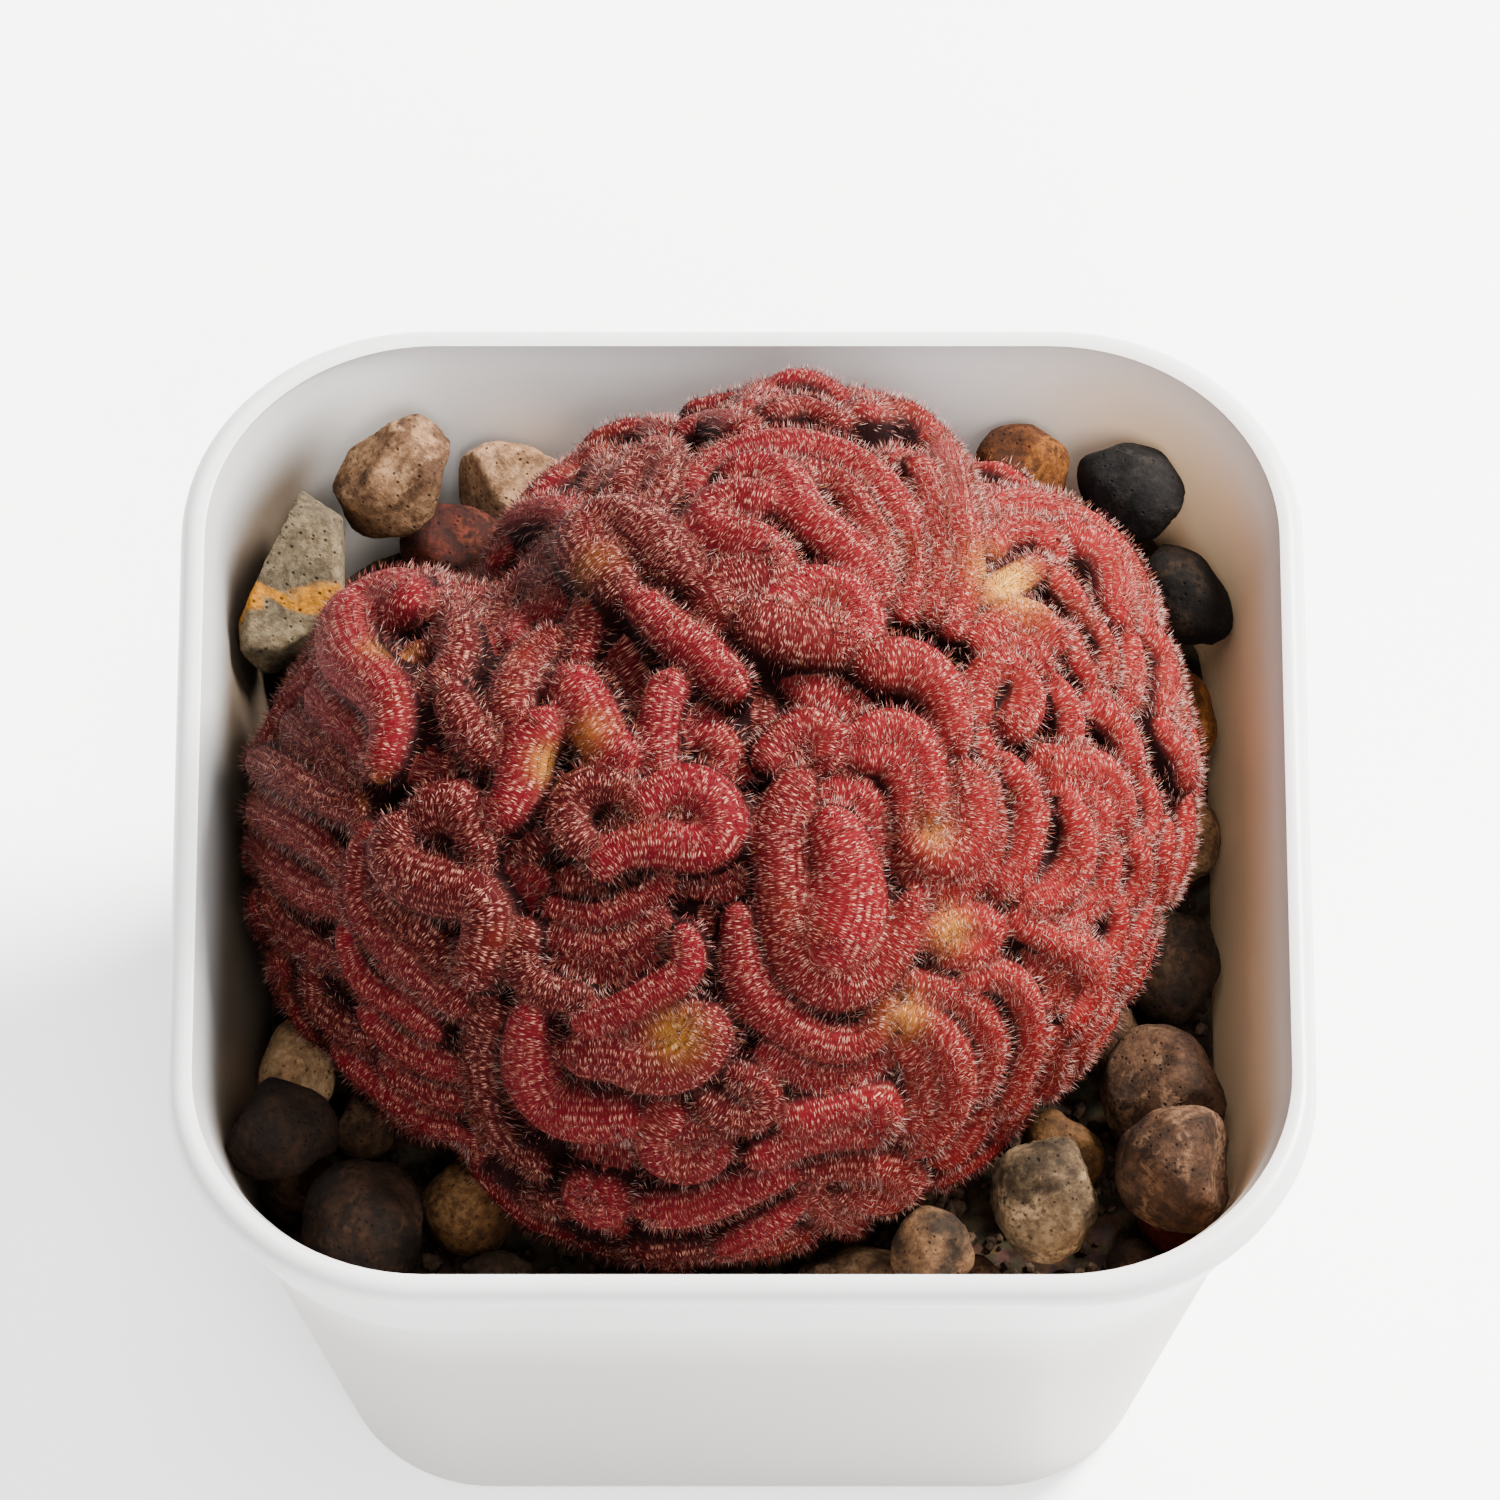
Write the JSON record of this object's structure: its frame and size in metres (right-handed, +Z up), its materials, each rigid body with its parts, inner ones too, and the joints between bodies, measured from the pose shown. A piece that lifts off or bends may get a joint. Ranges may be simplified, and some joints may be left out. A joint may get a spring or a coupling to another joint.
{
  "type": "potted crested cactus",
  "caption": "Crested cactus whose hairy crimson folds crowd into a brain-like dome, set on pebbles in a square white plastic pot.",
  "frame": {"origin": "centre of the pot's underside", "axes": "+Z up; the viewer of the picture stands on the -Y side, +X to their right"},
  "size_m": [0.09, 0.09, 0.0788],
  "materials": {
    "pot": "satin white moulded plastic",
    "soil": null,
    "crest": null,
    "stone": null
  },
  "bodies": {
    "root": {"crest": "crest", "pot": "pot", "soil": "soil", "stone_back_left": "stone", "stone_back_mid": "stone", "stone_back_right": "stone", "stone_beige_left": "stone", "stone_black_right": "stone", "stone_brown_corner": "stone", "stone_corner_front": "stone", "stone_corner_left": "stone", "stone_corner_right": "stone", "stone_dark_left": "stone", "stone_dark_right": "stone", "stone_front_low_left": "stone", "stone_grey_front": "stone", "stone_grey_right": "stone", "stone_large_right": "stone", "stone_left_back": "stone", "stone_left_high": "stone", "stone_left_low": "stone", "stone_left_mid": "stone", "stone_low_corner": "stone", "stone_low_left": "stone", "stone_low_right": "stone", "stone_mid_front": "stone", "stone_mid_front_2": "stone", "stone_navy": "stone", "stone_ochre_front": "stone", "stone_ochre_left": "stone", "stone_ochre_right": "stone", "stone_orange_back": "stone", "stone_pale_back": "stone", "stone_pink_corner": "stone", "stone_pink_front": "stone", "stone_red_back": "stone", "stone_red_right": "stone", "stone_right_back": "stone", "stone_round_front": "stone", "stone_speckled": "stone", "stone_tall": "stone", "stone_tan": "stone", "stone_under_navy": "stone", "stone_under_orange": "stone", "stone_under_pale": "stone", "stone_under_tan": "stone", "stone_wide_front": "stone"}
  },
  "joints": []
}
